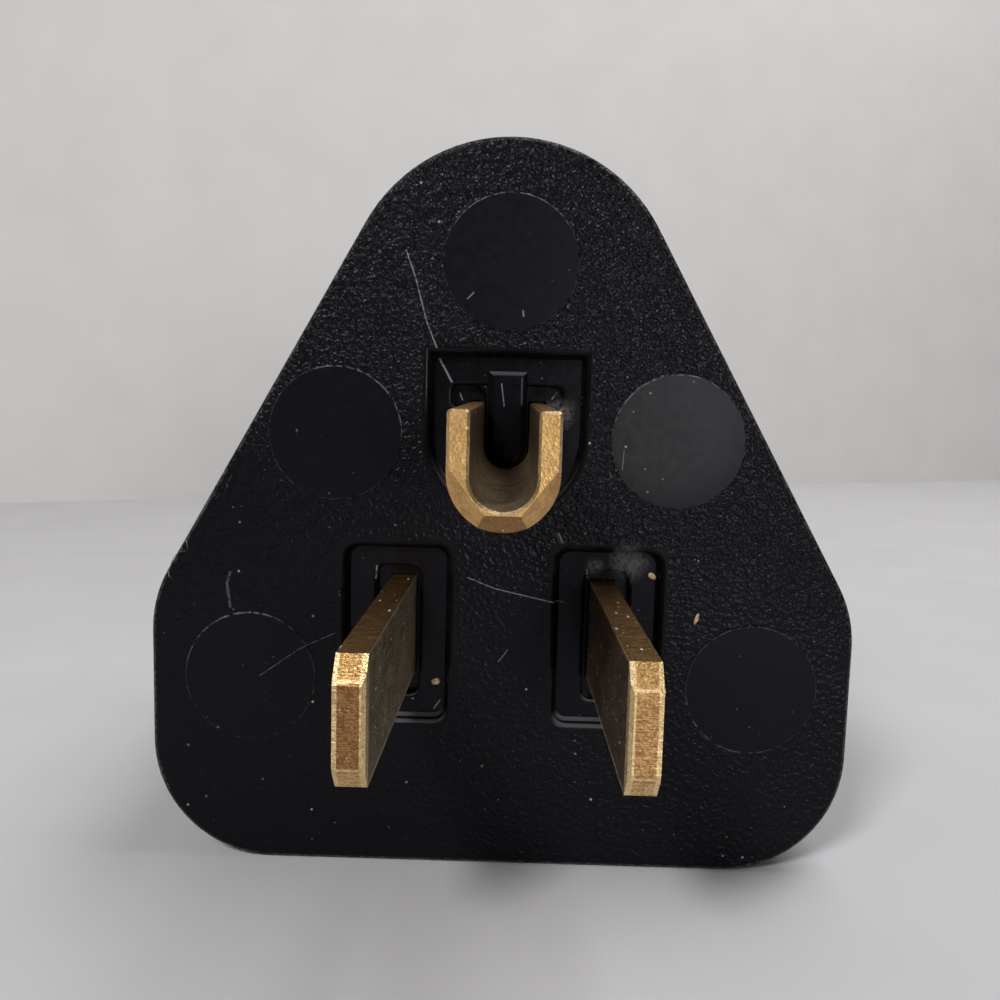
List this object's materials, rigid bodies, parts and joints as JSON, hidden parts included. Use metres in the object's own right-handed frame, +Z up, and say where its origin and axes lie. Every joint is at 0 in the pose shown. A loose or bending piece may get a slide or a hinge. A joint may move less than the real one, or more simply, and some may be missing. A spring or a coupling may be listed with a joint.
{
  "type": "plug adapter",
  "caption": "Black moulded travel adapter: two flat brass blades and a folded ground pin in front, a socket for a plug with flat pins behind.",
  "frame": {"origin": "middle of the flat underside, halfway through the body's depth", "axes": "+Y from the pins to the socket face, +Z up from the underside to the rounded top, +X to the right as the pins are seen"},
  "size_m": [0.0446, 0.055, 0.0458],
  "materials": {
    "black_plastic": "fine grained moulding, satin on the edges and lands",
    "brass": "rolled strip, dulled on the flats and bright on sheared edges",
    "steel": "zinc plated"
  },
  "bodies": {
    "root": {"earth_clip": "steel", "earth_contact": "brass", "ground_pin": "brass", "ground_rivet": "brass", "housing_screw": "steel", "line_blade": "brass", "line_clip": "steel", "line_contact": "brass", "line_rivet": "brass", "neutral_blade": "brass", "neutral_clip": "steel", "neutral_contact": "brass", "neutral_rivet": "brass", "plug_cover": "black_plastic", "rear_housing": "black_plastic"}
  },
  "joints": []
}
